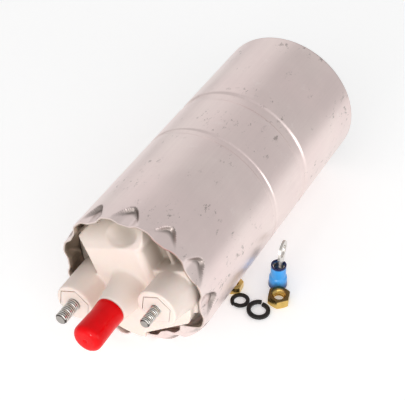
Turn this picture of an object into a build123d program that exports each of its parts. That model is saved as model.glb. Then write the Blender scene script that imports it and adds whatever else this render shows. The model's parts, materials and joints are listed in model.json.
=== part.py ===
from build123d import *
from math import cos, sin, pi, radians, degrees, atan2, hypot, sqrt
import os

# Inline electric fuel pump with a gerotor pumping stage, and its terminal hardware.
# Lengths are in millimetres. The model is laid out from the plane of the crimped rim,
# with the pump's axis along +Y, towards the inlet end, and +Z up from the floor.
# At the end every piece moves back along Y, so that the origin is on the axis
# at the middle of the clamping stretch, behind the far groove.

# Fits and clearances shared by all pieces
running_gap = 0.06      # radial, shaft in bush and rotor in ring
slip_gap = 0.15         # radial, loose pieces that slide or turn
seat_gap = 0.02         # pieces of one body that sit in each other
stack_gap = 0.05        # axial, between faces that touch
lobe_gap = 0.2          # between the gerotor's profiles
overrun = 1.0           # how far a cut runs past its face

# Casing: a drawn can, open at the terminal end
body_diameter = 60.0
body_length = 126.5
casing_wall = 1.2
end_round = 2.2
hub_wall = 1.8               # between the end's hole and the relief valve
near_groove_share = 0.43    # between the brush holder and the far groove
near_groove_width = 4.2
far_groove_width = 6.6
far_groove_flat = 2.2
near_groove_flat = 0.6
groove_depth = 1.3
groove_round = 0.9

# Crimp of the open end over the head
crimp_count = 12
crimp_length = 7.6
crimp_step = 1.2
crimp_crest_drop = 0.1
crimp_valley_drop = 2.2
crimp_valley_angle = 5.0
crimp_points_share = 4      # outline points for each quarter of a crimp

# Terminal head
head_tilt = 23.7            # the studs' line, turned from level
head_gap = 0.2
head_shoulder_gap = 0.3
head_length = 12.7          # the shoulder's length
lobe_face = 2.5
lobe_left = 18.5
lobe_right = 13.5
pocket_depth = 8.7
rib_aside = 17.4
rib_width = 1.4
pad_face = 1.0               # the pad between the right turret and the rim
pad_low = 13.0
pad_high = 6.0
face_lift = 1.5             # the bridge's face ahead of the rim plane
face_margin = 1.6
bridge_half_width = 13.0
bridge_half_height = 17.0
scoop_radius = 14.0
scoop_depth = 2.0
scoop_aside = 3.0
stud_inset = 7.3
turret_radius = 7.9
turret_face = 12.5
recess_depth = 3.6
boss_root_radius = 7.8
boss_tip_radius = 5.7
boss_face = 13.0
boss_flare = 4.6
boss_flare_round = 4.0
moulded_round = 0.8

# Outlet spigot, its check valve and its cap
spigot_radius = 4.0
spigot_bore = 2.5
spigot_bead_radius = 4.6
spigot_bead_length = 1.8
spigot_tip = 30.2
spigot_base_length = 7.0
valve_bore = 4.6
valve_seat_at = 6.0
valve_port_radius = 2.4
gallery_radius = 2.1
feed_radius = 1.7
poppet_radius = 4.2
poppet_length = 2.4
poppet_stem_radius = 1.2
poppet_travel = 2.0
valve_wire = 0.5
cap_radius = 5.8
cap_length = 16.9
cap_end_wall = 1.3
cap_end_round = 3.6

# Terminal studs
stud_radii = {"stud_m5": 2.5, "stud_m4": 2.0}
stud_reach = {"stud_m5": 21.6, "stud_m4": 20.6}     # tip ahead of the rim plane
stud_flats = {"stud_m5": 12.0, "stud_m4": 11.0}     # recess and base plate, across flats
stud_chamfer = 0.6
stud_plate = 1.5
choke_well = 9.8

# Seals
seal_section = 1.2
seal_groove_depth = 2.3
seal_squeeze = 0.05

# Motor
shaft_radius = 4.0
bush_radius = 7.0
bush_length = 6.0
choke_radius = 3.4
choke_core_radius = 1.6
choke_length = 8.0
choke_turns = 9
holder_back_gap = 0.5
holder_length = 14.0
holder_gap = 0.6
holder_wall = 2.0
brush_width = 5.6
brush_height = 7.6
brush_length = 7.6
brush_travel = 2.2
spring_wire = 0.6
spring_radius = 1.9
commutator_drop = 7.3
commutator_clearance = 1.6
commutator_inset = 2.1
commutator_length = 10.4
commutator_slots = 8
commutator_slot = 0.6
commutator_slot_depth = 1.4
air_gap = 0.9
core_front_space = 5.7
core_rear_space = 10.0
core_slots = 8
core_slot_radius = 2.9
core_slot_mouth = 1.6
core_slot_edge = 1.2
winding_shoulder = 0.5
winding_inner = 6.6
winding_end = 4.6
winding_gap = 0.1
washer_radius = 7.0
washer_length = 0.8
magnet_thickness = 5.1
magnet_front_space = 1.7
magnet_rear_space = 6.0
magnet_angle = 142.0
clip_thickness = 0.5
tube_wall = 2.65
tube_gap = 1.7
tube_end_gap = 0.4

# Pumping stage
plate_length = 6.0
pump_length = 12.0
lobe_count = 6
throw_share = 0.1103        # the gears' offset, of the tooth circle
tooth_share = 0.2647        # a tooth's radius, of the tooth circle
gear_rim = 4.0
ring_wall = 3.6
port_wall = 1.6
port_reach = 0.2
port_angle = 130.0
screw_count = 3
screw_inset = 4.4
screw_radius = 1.75
screw_head_radius = 3.0
screw_head_length = 2.2
screw_depth = 9.0
screw_key = 3.0             # across the flats of the socket
lobe_points_share = 16      # outline points for each lobe

# Inlet cover and relief valve
cover_length = 23.3
inlet_hub_length = 3.4
inlet_radius = 7.5
inlet_bore = 5.4
inlet_reach = 25.0
gallery_length = 4.0
strainer_length = 1.2
strainer_holes = 12
strainer_hole_radius = 0.7
strainer_circle_share = 0.62
relief_wall = 3.1
relief_angle = 180.0
relief_bore = 3.2
relief_port_radius = 1.6
relief_seat_depth = 4.0
relief_ball_radius = 2.6
relief_travel = 1.4
relief_plug_length = 3.0

# Loose terminal hardware on the floor, placed from the casing's side and along it
nut_sizes = {"nut_m5": (2.1, 8.0, 4.0), "nut_m4": (1.65, 7.0, 3.2)}     # bore, flats, height
nut_asides = {"nut_m5": 8.1}
nut_headroom = 1.0          # of the smaller nut, under the casing's flank
nut_alongs = {"nut_m5": 44.2, "nut_m4": 42.0}
nut_turns = {"nut_m5": 17.0, "nut_m4": 5.0}
washer_sizes = {"lock_washer_m5": (2.95, 4.6, 1.1), "lock_washer_m4": (2.3, 3.8, 0.85)}
washer_asides = {"lock_washer_m5": 3.8, "lock_washer_m4": -4.85}
washer_alongs = {"lock_washer_m5": 35.3, "lock_washer_m4": 36.55}
washer_turns = {"lock_washer_m5": 96.0, "lock_washer_m4": 250.0}
washer_slit = 0.5
washer_lean = 35.0
nut_bevel = 0.45
sleeve_aside = 3.6
sleeve_along = 52.4
sleeve_facing = 98.0        # the ring's flat, turned from +X
sleeve_mouth_radius = 3.75
sleeve_radius = 3.05
sleeve_wall = 0.75
sleeve_mouth_length = 4.4
sleeve_length = 10.6
barrel_radius = 1.9
barrel_wall = 0.55
tongue_thickness = 0.9
tongue_width = 4.4
tongue_length = 4.2
eye_radius = 4.4
eye_hole_radius = 2.65

# Across the axis, from the casing inwards
body_radius = body_diameter / 2
floor_level = -body_radius
casing_bore = body_radius - casing_wall
shoulder_radius = casing_bore - head_gap
neck_radius = body_radius - crimp_valley_drop - casing_wall - head_gap
face_radius = neck_radius - face_margin
stud_pitch = neck_radius - stud_inset
holder_radius = casing_bore - holder_gap
brush_guide_end = holder_radius - holder_wall
tube_outer = casing_bore - tube_gap
tube_inner = tube_outer - tube_wall
magnet_outer = tube_inner - slip_gap
magnet_inner = magnet_outer - magnet_thickness
core_radius = magnet_inner - air_gap
slot_circle = core_radius - core_slot_edge - core_slot_radius
winding_outer = core_radius - core_slot_edge - winding_shoulder
commutator_radius = core_radius - commutator_drop
holder_bore = commutator_radius + commutator_clearance
brush_start = commutator_radius + slip_gap / 2
screw_circle = shoulder_radius - screw_inset
rotor_ring_radius = screw_circle - screw_head_radius - ring_wall
tooth_circle = rotor_ring_radius - gear_rim
tooth_radius = tooth_circle * tooth_share
eccentricity = tooth_circle * throw_share
port_inner = bush_radius + port_wall
port_outer = tooth_circle + port_reach
relief_circle = shoulder_radius - seal_groove_depth - relief_bore - relief_wall
end_hole_radius = relief_circle - relief_bore - hub_wall

# Along the axis: the head and brush gear from the rim, the pumping stage from the far end
shoulder_start = crimp_length + crimp_step + head_shoulder_gap
head_back = shoulder_start + head_length
stud_floor = turret_face - recess_depth
stud_tail = head_back - choke_well
holder_start = head_back + holder_back_gap
holder_end = holder_start + holder_length
commutator_start = holder_start + commutator_inset
cover_end = body_length - casing_wall
cover_start = cover_end - cover_length
ring_start = cover_start - pump_length
plate_start = ring_start - plate_length
core_start = holder_end + core_front_space
core_end = plate_start - core_rear_space
magnet_start = holder_end + magnet_front_space
magnet_end = plate_start - magnet_rear_space
tube_start = holder_end + tube_end_gap
tube_end = plate_start - tube_end_gap
shaft_start = head_back - bush_length
shaft_end = cover_start - stack_gap
far_groove_at = plate_start - far_groove_width / 2 - 2 * stack_gap
near_groove_at = holder_end + (far_groove_at - holder_end) * near_groove_share
clamp_start = far_groove_at + far_groove_width / 2
clamp_end = body_length - end_round
clamp_centre = (clamp_start + clamp_end) / 2


# Shapes that the pieces share

def plate(sketch, start, end):
    """A sketch drawn in X and Z, as a solid from one place along Y to another."""
    return Pos(0, end, 0) * extrude(Plane.XZ * sketch, amount=end - start)


def disc(radius, start, end, x=0.0, z=0.0):
    return plate(Pos(x, z) * Circle(radius), start, end)


def ring(outer, inner, start, end, x=0.0, z=0.0):
    return plate(Pos(x, z) * (Circle(outer) - Circle(inner)), start, end)


def turned(points, x=0.0, z=0.0):
    """A solid turned about Y from corners given as radius, place along Y and rounding."""
    corners = [(radius, along) for radius, along, rounding in points]
    roundings = [rounding for radius, along, rounding in points]
    profile = make_face(FilletPolyline(*corners, radius=roundings, close=True))
    return Pos(x, 0, z) * revolve(profile, Axis.Y, 360)


def coil(radius, wire, start, end, turns):
    """A wire spring along Z with closed ends that lie in its length."""
    pitch = (end - start - wire) / turns
    path = Helix(pitch, end - start - wire, radius, center=(0, 0, start + wire / 2))
    section = Plane(origin=path @ 0, z_dir=path % 0) * Circle(wire / 2)
    return sweep(section, path=path, is_frenet=True)


def to_head(shape):
    """Turns a shape from level to the line of the studs."""
    return Rot(0, -head_tilt, 0) * shape


def along_y(shape):
    """Lays a shape built along Z along Y."""
    return Rot(-90, 0, 0) * shape


# Casing

def crimp_outline(inset):
    """The crimped rim's outline: crests at the can's radius, a valley for each jaw."""
    crest = body_radius - crimp_crest_drop - inset
    swing = (crimp_valley_drop - crimp_crest_drop) / 2
    steps = crimp_count * crimp_points_share
    points = []
    for step in range(steps):
        turn = 2 * pi * step / steps
        wave = cos(crimp_count * (turn - radians(crimp_valley_angle)))
        sharp = wave + (1 - wave * wave) / crimp_points_share
        radius = crest - swing - swing * sharp
        points.append((radius * cos(turn), radius * sin(turn)))
    return make_face(Spline(*points, periodic=True))


def groove_corners(radius, centre, width, flat):
    half = width / 2
    return [
        (radius, centre - half, groove_round),
        (radius - groove_depth, centre - flat / 2 - groove_round / 2, groove_round / 2),
        (radius - groove_depth, centre + flat / 2 + groove_round / 2, groove_round / 2),
        (radius, centre + half, groove_round),
    ]


def make_casing():
    can_start = crimp_length + crimp_step
    outer = [(body_radius, can_start, 0)]
    outer += groove_corners(body_radius, near_groove_at, near_groove_width, near_groove_flat)
    outer += groove_corners(body_radius, far_groove_at, far_groove_width, far_groove_flat)
    outer += [(body_radius, body_length, end_round), (end_hole_radius, body_length, 0)]
    inner = [(casing_bore, can_start, 0)]
    inner += groove_corners(casing_bore, near_groove_at, near_groove_width, near_groove_flat)
    inner += groove_corners(casing_bore, far_groove_at, far_groove_width, far_groove_flat)
    inner += [(casing_bore, cover_end, end_round - casing_wall), (end_hole_radius, cover_end, 0)]
    can = turned(outer + inner[::-1])
    skirt = plate(crimp_outline(0) - crimp_outline(casing_wall), 0, crimp_length)
    step = plate(Circle(body_radius) - crimp_outline(casing_wall), crimp_length, can_start)
    return can + step + skirt


# Terminal head

def in_neck(start, end):
    return disc(neck_radius, start, end)


def slab(left, right, low, high, start, end):
    """A block between two places on each axis: level, upright and along Y."""
    sketch = Pos((left + right) / 2, (low + high) / 2) * Rectangle(right - left, high - low)
    return plate(sketch, start, end)


def hex_prism(flats, start, end, x):
    return plate(Pos(x, 0) * RegularPolygon(flats / 2, 6, major_radius=False), start, end)


def make_head():
    back = shoulder_start
    body = in_neck(pocket_depth, back)
    lobes = slab(-lobe_left, lobe_right, -neck_radius, neck_radius, lobe_face, back)
    scoop_at = lobe_face + scoop_depth - scoop_radius
    scoop_height = (bridge_half_height + neck_radius) / 2
    lobes -= Pos(scoop_aside, scoop_at, scoop_height) * Sphere(scoop_radius)
    lobes += slab(rib_aside, rib_aside + rib_width, 0, neck_radius, lobe_face, back)
    body += lobes & in_neck(lobe_face, back)
    body += slab(0, neck_radius, -pad_low, pad_high, pad_face, back) & in_neck(pad_face, back)
    lower = slab(-face_radius, face_radius, -face_radius, 0, -face_lift, back)
    body += soft_front(lower & disc(face_radius, -face_lift, back), -face_lift)
    body += soft_front(slab(-bridge_half_width, bridge_half_width, 0,
                            bridge_half_height, -face_lift, back), -face_lift)
    flare = boss_root_radius + boss_flare
    body += turned([(0, -boss_face, 0), (boss_tip_radius, -boss_face, moulded_round / 2),
                    (boss_root_radius, -face_lift - stack_gap, boss_flare_round),
                    (flare, -face_lift - stack_gap, 0), (flare, back, 0), (0, back, 0)])
    for side in (-1, 1):
        body += turned([(0, -turret_face, 0), (turret_radius, -turret_face, moulded_round),
                        (turret_radius, back, 0), (0, back, 0)], side * stud_pitch)
    body += disc(shoulder_radius, shoulder_start, head_back)
    for side, name in ((-1, "stud_m5"), (1, "stud_m4")):
        x = side * stud_pitch
        body -= hex_prism(stud_flats[name], -turret_face - overrun, stud_plate - stud_floor, x)
        body -= disc(stud_radii[name] + seat_gap, -stud_floor, stud_tail + overrun, x)
        body -= disc(choke_radius + seat_gap, stud_tail, head_back + overrun, x)
    return to_head(body - head_passages())


def soft_front(body, face):
    """Rounds the edges of a block's front face, as a mould leaves them."""
    edges = [edge for edge in body.edges() if edge.bounding_box().max.Y < face + stack_gap]
    return fillet(edges, moulded_round)


def head_passages():
    """The valve chamber, the passages that feed it, the bush's seat and the seal's groove."""
    cuts = disc(valve_bore, -boss_face - overrun, valve_seat_at)
    cuts += disc(valve_port_radius, valve_seat_at, shoulder_start)
    reach = bush_radius + 2 * valve_port_radius
    cuts += Pos(0, shoulder_start, 0) * Cylinder(gallery_radius, 2 * reach)
    for side in (-1, 1):
        cuts += disc(feed_radius, shoulder_start, head_back + overrun,
                     0, side * (reach - feed_radius - overrun))
    cuts += disc(bush_radius + seat_gap, head_back - bush_length, head_back + overrun)
    middle = shoulder_start + head_length / 2
    half = seal_section + 2 * seal_squeeze
    cuts += ring(shoulder_radius + overrun, shoulder_radius - seal_groove_depth,
                 middle - half, middle + half)
    return cuts


def make_seal(centre):
    """A rubber ring in its groove, against the casing's bore."""
    section_at = casing_bore - seal_squeeze - seal_section
    return Pos(0, centre, 0) * along_y(Torus(section_at, seal_section))


# Studs, chokes and brush gear

def make_stud(name, side):
    x = side * stud_pitch
    radius = stud_radii[name]
    plate_back = stud_plate - stud_floor
    shape = turned([(0, -stud_reach[name], 0), (radius - stud_chamfer, -stud_reach[name], 0),
                    (radius, stud_chamfer - stud_reach[name], 0), (radius, stud_tail, 0),
                    (0, stud_tail, 0)], x)
    shape += hex_prism(stud_flats[name] - 2 * slip_gap, -stud_floor, plate_back - stack_gap, x)
    return to_head(shape)


def make_choke(side):
    """A ferrite rod with its winding, between a stud's tail and the brush holder."""
    start = stud_tail + 2 * stack_gap
    pitch = choke_length / choke_turns
    valley = choke_radius - pitch / 2
    points = [(0, start, 0), (choke_core_radius, start, 0)]
    for turn in range(choke_turns):
        foot = start + turn * pitch
        points += [(valley, foot, 0), (choke_radius, foot + pitch / 2, 0)]
    end = start + choke_length
    points += [(valley, end, 0), (choke_core_radius, end, 0),
               (choke_core_radius, holder_start - stack_gap, 0),
               (0, holder_start - stack_gap, 0)]
    return to_head(turned(points, side * stud_pitch))


def make_brush_holder():
    end = holder_end
    body = ring(holder_radius, holder_bore, holder_start, end)
    middle = commutator_start + commutator_length / 2
    wide = brush_width / 2 + slip_gap
    tall = brush_height / 2 + slip_gap
    for side in (-1, 1):
        inner, outer = sorted((0, side * brush_guide_end))
        body -= slab(inner, outer, -wide, wide, middle - tall, middle + tall)
        body -= disc(valve_port_radius, holder_start - overrun, end + overrun,
                     0, side * (holder_bore + holder_radius) / 2)
    return to_head(body)


def make_brush(side):
    middle = commutator_start + commutator_length / 2
    half = brush_width / 2
    inner, outer = sorted((side * commutator_radius, side * (brush_start + brush_length)))
    block = slab(inner, outer, -half, half, middle - brush_height / 2, middle + brush_height / 2)
    block -= disc(brush_start, middle - brush_height, middle + brush_height)
    return to_head(block)


def make_brush_spring(side):
    """The coil behind a brush, from its back to the end of its guide."""
    start = brush_start + brush_length + stack_gap
    spring = coil(spring_radius, spring_wire, start, brush_guide_end - stack_gap, 5)
    middle = commutator_start + commutator_length / 2
    return to_head(Pos(0, middle, 0) * Rot(0, side * 90, 0) * spring)


# Rotor

def make_shaft():
    body = turned([(0, shaft_start, 0), (shaft_radius, shaft_start, 0),
                   (shaft_radius, shaft_end, 0), (0, shaft_end, 0)])
    flat = shaft_radius - moulded_round
    cut = slab(flat, shaft_radius + overrun, -shaft_radius, shaft_radius,
               ring_start, shaft_end + overrun)
    return body - cut


def shaft_bore(start, end):
    return disc(shaft_radius + seat_gap, start, end)


def make_commutator():
    end = commutator_start + commutator_length
    body = disc(commutator_radius, commutator_start, end)
    for slot in range(commutator_slots):
        cut = slab(commutator_radius - commutator_slot_depth, commutator_radius + overrun,
                   -commutator_slot / 2, commutator_slot / 2,
                   commutator_start - overrun, end + overrun)
        body -= Rot(0, 360 * slot / commutator_slots, 0) * cut
    return body - shaft_bore(commutator_start - overrun, end + overrun)


def core_slot(radius, mouth, start, end):
    """One slot of the core: a round pocket and its narrow mouth, on the +X side."""
    pocket = disc(radius, start, end, slot_circle)
    return pocket + slab(slot_circle, core_radius + overrun, -mouth / 2, mouth / 2, start, end)


def make_core():
    body = disc(core_radius, core_start, core_end)
    for slot in range(core_slots):
        cut = core_slot(core_slot_radius, core_slot_mouth,
                        core_start - overrun, core_end + overrun)
        body -= Rot(0, 360 * slot / core_slots, 0) * cut
    return body - shaft_bore(core_start - overrun, core_end + overrun)


def make_winding():
    """The coil sides in the slots, joined by the end turns as one wound mass."""
    rounding = winding_end / 3
    front = core_start - winding_gap
    back = core_end + winding_gap
    body = turned([(winding_inner, front - winding_end, rounding),
                   (winding_outer, front - winding_end, rounding),
                   (winding_outer, front, 0), (winding_inner, front, 0)])
    body += turned([(winding_inner, back, 0), (winding_outer, back, 0),
                    (winding_outer, back + winding_end, rounding),
                    (winding_inner, back + winding_end, rounding)])
    for slot in range(core_slots):
        side = disc(core_slot_radius - winding_gap, front, back, slot_circle)
        body += Rot(0, 360 * slot / core_slots, 0) * side
    return body


def make_thrust_washer(start):
    return ring(washer_radius, shaft_radius + seat_gap, start, start + washer_length)


# Field

def arc_sketch(outer, inner, span):
    """A ring's sector, centred on +Z."""
    half = radians(span / 2)
    reach = 2 * outer
    wedge = make_face(Polyline((0, 0), (-reach * sin(half), reach * cos(half)),
                               (0, reach), (reach * sin(half), reach * cos(half)), close=True))
    return (Circle(outer) - Circle(inner)) & wedge


def make_magnet(turn):
    body = plate(arc_sketch(magnet_outer, magnet_inner, magnet_angle),
                 magnet_start, magnet_end)
    return to_head(Rot(0, turn, 0) * body)


def make_clips():
    """Two spring clips that spread the magnets, one in each gap between them."""
    gap = 180 - magnet_angle
    edge = degrees(seat_gap / magnet_inner)
    back = arc_sketch(magnet_outer, magnet_outer - clip_thickness, gap - 2 * edge)
    leg = degrees(clip_thickness / magnet_inner)
    limb = arc_sketch(magnet_outer, magnet_inner, leg)
    swing = (gap - leg) / 2 - edge
    shape = back + Rot(0, 0, swing) * limb + Rot(0, 0, -swing) * limb
    clip = plate(shape, magnet_start, magnet_end)
    return [to_head(Rot(0, side * 90, 0) * clip) for side in (-1, 1)]


def make_flux_tube():
    return ring(tube_outer, tube_inner, tube_start, tube_end)


# Pumping stage

def screw_spots():
    spots = []
    for screw in range(screw_count):
        turn = 2 * pi * screw / screw_count + pi / 2
        spots.append((screw_circle * cos(turn), screw_circle * sin(turn)))
    return spots


def make_pump_plate():
    end = ring_start - stack_gap
    body = disc(shoulder_radius, plate_start, end)
    body -= disc(bush_radius + seat_gap, plate_start - overrun, end + overrun)
    body -= plate(kidney(1), plate_start - overrun, end + overrun)
    for x, z in screw_spots():
        body -= disc(screw_radius + slip_gap, plate_start - overrun, end + overrun, x, z)
        body -= disc(screw_head_radius + slip_gap, plate_start - overrun,
                     plate_start + screw_head_length + stack_gap, x, z)
    return body


def kidney(side):
    """The curved port on one side of the gears: discharge at +Z, suction at -Z."""
    sector = arc_sketch(port_outer, port_inner, port_angle)
    return sector if side > 0 else Rot(0, 0, 180) * sector


def make_bush(start):
    return ring(bush_radius, shaft_radius + running_gap, start, start + bush_length - stack_gap)


def inner_lobes():
    """The inner gear's outline: the path of an outer tooth's centre, set in by its radius."""
    teeth = lobe_count + 1
    inset = tooth_radius + lobe_gap
    steps = lobe_count * lobe_points_share
    points = []
    for step in range(steps):
        turn = 2 * pi * step / steps
        x = tooth_circle * cos(turn) + eccentricity * cos(teeth * turn)
        z = tooth_circle * sin(turn) + eccentricity * sin(teeth * turn)
        slope_x = -tooth_circle * sin(turn) - teeth * eccentricity * sin(teeth * turn)
        slope_z = tooth_circle * cos(turn) + teeth * eccentricity * cos(teeth * turn)
        length = hypot(slope_x, slope_z)
        points.append((x - inset * slope_z / length, z + inset * slope_x / length))
    return make_face(Spline(*points, periodic=True))


def make_inner_rotor():
    start = ring_start + stack_gap
    body = plate(inner_lobes(), start, cover_start - stack_gap)
    bore = shaft_bore(start - overrun, cover_start)
    flat = shaft_radius - moulded_round + seat_gap
    bore -= slab(flat, shaft_radius + overrun, -shaft_radius, shaft_radius,
                 start - overrun, cover_start)
    return body - bore


def make_outer_rotor():
    """The outer gear, one tooth more than the inner, running off centre along +X."""
    start = ring_start + stack_gap
    end = cover_start - stack_gap
    hollow = tooth_circle + 2 * eccentricity - tooth_radius + lobe_gap
    sketch = Circle(rotor_ring_radius) - Circle(hollow)
    teeth = lobe_count + 1
    for tooth in range(teeth):
        turn = 2 * pi * tooth / teeth
        place = Pos(tooth_circle * cos(turn), tooth_circle * sin(turn))
        sketch += place * Circle(tooth_radius) & Circle(rotor_ring_radius)
    return plate(Pos(eccentricity, 0) * sketch, start, end)


def make_pump_ring():
    end = cover_start - stack_gap
    body = disc(shoulder_radius, ring_start, end)
    body -= disc(rotor_ring_radius + running_gap, ring_start - overrun, end + overrun,
                 eccentricity)
    for x, z in screw_spots():
        body -= disc(screw_radius + slip_gap, ring_start - overrun, end + overrun, x, z)
    return body


def make_screws():
    """Three socket screws through plate and ring into the inlet cover."""
    head_start = plate_start
    shank_end = cover_start + screw_depth - overrun
    screws = []
    for x, z in screw_spots():
        body = disc(screw_head_radius, head_start, head_start + screw_head_length, x, z)
        body += disc(screw_radius, head_start + screw_head_length, shank_end, x, z)
        key = Pos(x, z) * RegularPolygon(screw_key / 2, 6, major_radius=False)
        body -= plate(key, head_start - overrun, head_start + screw_head_length / 2)
        screws.append(body)
    return screws


# Inlet cover, strainer and relief valve

def relief_place():
    turn = radians(relief_angle)
    return relief_circle * cos(turn), relief_circle * sin(turn)


def relief_end():
    return cover_end - relief_plug_length


def make_inlet_cover():
    spigot_end = body_length + inlet_reach
    hub_end = body_length + inlet_hub_length - casing_wall
    hub = end_hole_radius - seat_gap - slip_gap
    body = turned([(0, cover_start, 0), (shoulder_radius, cover_start, 0),
                   (shoulder_radius, cover_end - stack_gap, end_round - casing_wall),
                   (hub, cover_end - stack_gap, 0), (hub, hub_end, moulded_round),
                   (inlet_radius, hub_end, moulded_round),
                   (inlet_radius, spigot_end - moulded_round, 0),
                   (inlet_radius - moulded_round, spigot_end, 0), (0, spigot_end, 0)])
    gallery_end = cover_start + gallery_length
    body -= plate(kidney(-1), cover_start - overrun, gallery_end)
    body -= disc(port_outer, gallery_end, gallery_end + gallery_length)
    body -= disc(inlet_bore, gallery_end, spigot_end + overrun)
    x, z = relief_place()
    seat_at = cover_start + relief_seat_depth
    body -= disc(relief_port_radius, cover_start - overrun, seat_at, x, z)
    body -= disc(relief_bore, seat_at, cover_end + overrun, x, z)
    for x, z in screw_spots():
        body -= disc(screw_radius + seat_gap, cover_start - overrun,
                     cover_start + screw_depth, x, z)
    middle = (cover_start + cover_end) / 2
    half = seal_section + 2 * seal_squeeze
    body -= ring(shoulder_radius + overrun, shoulder_radius - seal_groove_depth,
                 middle - half, middle + half)
    return body


def make_strainer():
    """A perforated disc pressed into the inlet's bore, just inside its mouth."""
    start = body_length + inlet_reach / 2
    end = start + strainer_length
    body = disc(inlet_bore - seat_gap, start, end)
    circle = inlet_bore * strainer_circle_share
    for hole in range(strainer_holes):
        turn = 2 * pi * hole / strainer_holes
        body -= disc(strainer_hole_radius, start - overrun, end + overrun,
                     circle * cos(turn), circle * sin(turn))
    return body - disc(strainer_hole_radius, start - overrun, end + overrun)


def make_relief_ball():
    x, z = relief_place()
    seat_at = cover_start + relief_seat_depth
    drop = sqrt(relief_ball_radius ** 2 - relief_port_radius ** 2)
    return Pos(x, seat_at + drop + stack_gap, z) * Sphere(relief_ball_radius)


def relief_ball_back():
    seat_at = cover_start + relief_seat_depth
    drop = sqrt(relief_ball_radius ** 2 - relief_port_radius ** 2)
    return seat_at + drop + relief_ball_radius


def make_relief_spring():
    x, z = relief_place()
    start = relief_ball_back() + 2 * stack_gap
    end = relief_end() - stack_gap
    return Pos(x, 0, z) * along_y(coil(spring_radius, spring_wire, start, end, 5))


def make_relief_plug():
    x, z = relief_place()
    end = cover_end - 2 * stack_gap
    body = disc(relief_bore - seat_gap, relief_end(), end, x, z)
    return body - disc(relief_port_radius, relief_end() - overrun, end + overrun, x, z)


# Outlet

def make_spigot():
    base_end = spigot_base_length - boss_face
    bead = spigot_bead_length - spigot_tip
    return turned([(spigot_bore, -spigot_tip, 0), (spigot_radius, -spigot_tip, 0),
                   (spigot_bead_radius, bead, spigot_bead_length / 4),
                   (spigot_radius, bead + spigot_bead_length, 0),
                   (spigot_radius, -boss_face, 0), (valve_bore - seat_gap, -boss_face, 0),
                   (valve_bore - seat_gap, base_end, 0), (spigot_bore, base_end, 0)])


def make_poppet():
    """The check valve's disc on its seat, with the stem that guides its spring."""
    back = valve_seat_at - stack_gap
    front = back - poppet_length
    stem_end = front - poppet_travel
    return turned([(0, stem_end, 0), (poppet_stem_radius, stem_end, 0),
                   (poppet_stem_radius, front, 0), (poppet_radius, front, 0),
                   (poppet_radius, back, 0), (0, back, 0)])


def make_valve_spring():
    start = spigot_base_length - boss_face + stack_gap
    end = valve_seat_at - poppet_length - 2 * stack_gap
    radius = (spigot_bore + valve_bore) / 2
    return along_y(coil(radius, valve_wire, start, end, 4))


def make_cap():
    """The slip-on cap: a soft cup with a domed end."""
    mouth = slip_gap - boss_face - 2
    end = mouth - cap_length
    bore = spigot_bead_radius + slip_gap
    floor = -spigot_tip - 2 * slip_gap
    cup = turned([(0, end, 0), (cap_radius, end, cap_end_round), (cap_radius, mouth, 0),
                  (bore, mouth, 0), (bore, floor, 0), (0, floor, 0)])
    return cup


# Loose hardware

def on_floor(shape, aside, along, turn):
    """Sets a shape built on Z = 0 down on the floor, aside from the casing and turned."""
    return Pos(body_radius + aside, along, floor_level) * Rot(0, 0, turn) * shape


def under_flank(name):
    """How far in from the casing's side a nut can lie with its headroom under the flank."""
    bore, flats, height = nut_sizes[name]
    rise = body_radius - height - nut_headroom
    return sqrt(body_radius ** 2 - rise ** 2) + flats / sqrt(3) - body_radius


def make_nut(name):
    bore, flats, height = nut_sizes[name]
    blank = extrude(RegularPolygon(flats / 2, 6, major_radius=False), amount=height)
    corner = flats / sqrt(3)
    bevelled = revolve(Plane.XZ * make_face(Polyline(
        (0, 0), (flats / 2, 0), (corner, nut_bevel), (corner, height - nut_bevel),
        (flats / 2, height), (0, height), close=True)), Axis.Z, 360)
    body = (blank & bevelled) - Pos(0, 0, height / 2) * Cylinder(bore, height + overrun)
    aside = nut_asides.get(name, under_flank(name))
    return on_floor(body, aside, nut_alongs[name], nut_turns[name])


def make_lock_washer(name):
    """A split spring washer, its slit cut aslant."""
    inner, outer, height = washer_sizes[name]
    body = extrude(Circle(outer) - Circle(inner), amount=height)
    cut = Pos(outer, 0, height / 2) * Rot(washer_lean, 0, 0) * Box(2 * outer, washer_slit, 4 * height)
    return on_floor(body - cut, washer_asides[name], washer_alongs[name], washer_turns[name])


def terminal_frame(shape):
    return on_floor(shape, sleeve_aside, sleeve_along, sleeve_facing)


def make_terminal_sleeve():
    """The blue sleeve, standing on its wide wire mouth."""
    shoulder = sleeve_mouth_length + moulded_round
    profile = make_face(Polyline(
        (barrel_radius + barrel_wall + seat_gap, shoulder),
        (sleeve_mouth_radius - sleeve_wall, sleeve_mouth_length - moulded_round),
        (sleeve_mouth_radius - sleeve_wall, 0), (sleeve_mouth_radius, 0),
        (sleeve_mouth_radius - sleeve_wall / 3, sleeve_mouth_length), (sleeve_radius, shoulder),
        (sleeve_radius, sleeve_length),
        (barrel_radius + barrel_wall + seat_gap, sleeve_length), close=True))
    return terminal_frame(revolve(Plane.XZ * profile, Axis.Z, 360))


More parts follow.
